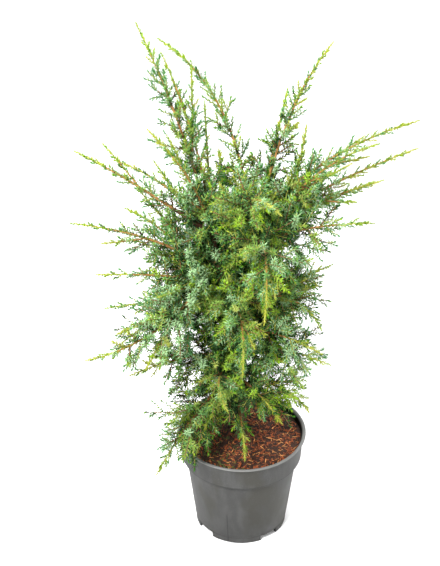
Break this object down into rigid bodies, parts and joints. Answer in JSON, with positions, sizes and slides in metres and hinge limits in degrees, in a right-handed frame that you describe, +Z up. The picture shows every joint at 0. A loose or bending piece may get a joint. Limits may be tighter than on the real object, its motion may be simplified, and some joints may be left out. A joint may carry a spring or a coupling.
{
  "type": "potted juniper shrub",
  "caption": "Young juniper shrub with long upswept and arching shoots round two stems, growing in a round tapered nursery pot with a collar rim and notched foot.",
  "frame": {"origin": "centre of the pot's flat underside, on the ground", "axes": "+Z up along the pot's axis, -Y towards the viewer of the picture, +X to the right in the picture"},
  "size_m": [0.4693, 0.3992, 0.7555],
  "materials": {
    "pot": "dusty dark grey, matte",
    "soil": "moist bark chips and peat",
    "bark": "flaky reddish brown bark",
    "needles_mid": "mid green needles",
    "needles_fresh": "fresh green needles",
    "needles_tip": "yellow-green young needles",
    "needles_blue": "blue-green older needles"
  },
  "bodies": {
    "root": {"pot": "pot", "soil": "soil", "trunk": "bark", "second_stem": "bark", "left_leader_bough": "bark", "left_inner_leader_bough": "bark", "left_high_back_bough": "bark", "left_high_bough": "bark", "left_middle_bough": "bark", "left_middle_low_bough": "bark", "left_low_front_bough": "bark", "right_leader_bough": "bark", "arching_leader_bough": "bark", "right_high_outer_bough": "bark", "right_high_bough": "bark", "right_middle_outer_bough": "bark", "right_middle_bough": "bark", "right_low_outer_bough": "bark", "back_high_left_bough": "bark", "back_high_right_bough": "bark", "back_middle_bough": "bark", "left_leader_needles": "needles_mid", "left_inner_leader_needles": "needles_mid", "left_short_needles": "needles_mid", "left_high_back_needles": "needles_mid", "left_high_needles": "needles_mid", "left_middle_needles": "needles_mid", "left_middle_low_needles": "needles_mid", "left_low_back_needles": "needles_mid", "left_low_front_needles": "needles_mid", "left_lowest_needles": "needles_mid", "left_skirt_needles": "needles_mid", "right_leader_needles": "needles_fresh", "arching_leader_needles": "needles_mid", "right_inner_needles": "needles_fresh", "right_high_outer_needles": "needles_fresh", "right_high_needles": "needles_fresh", "right_middle_outer_needles": "needles_fresh", "right_middle_needles": "needles_fresh", "right_low_outer_needles": "needles_fresh", "right_low_needles": "needles_fresh", "right_lower_needles": "needles_fresh", "right_lowest_needles": "needles_fresh", "right_low_front_needles": "needles_fresh", "right_skirt_needles": "needles_fresh", "front_hanging_needles": "needles_tip", "front_skirt_needles": "needles_tip", "front_right_needles": "needles_tip", "left_skirt_front_needles": "needles_mid", "right_skirt_front_needles": "needles_fresh", "front_left_low_needles": "needles_tip", "front_high_needles": "needles_tip", "back_high_left_needles": "needles_blue", "back_high_right_needles": "needles_blue", "back_middle_needles": "needles_blue", "back_middle_left_needles": "needles_blue", "back_middle_right_needles": "needles_blue", "back_low_left_needles": "needles_blue", "back_low_right_needles": "needles_blue", "back_skirt_needles": "needles_blue"}
  },
  "joints": []
}
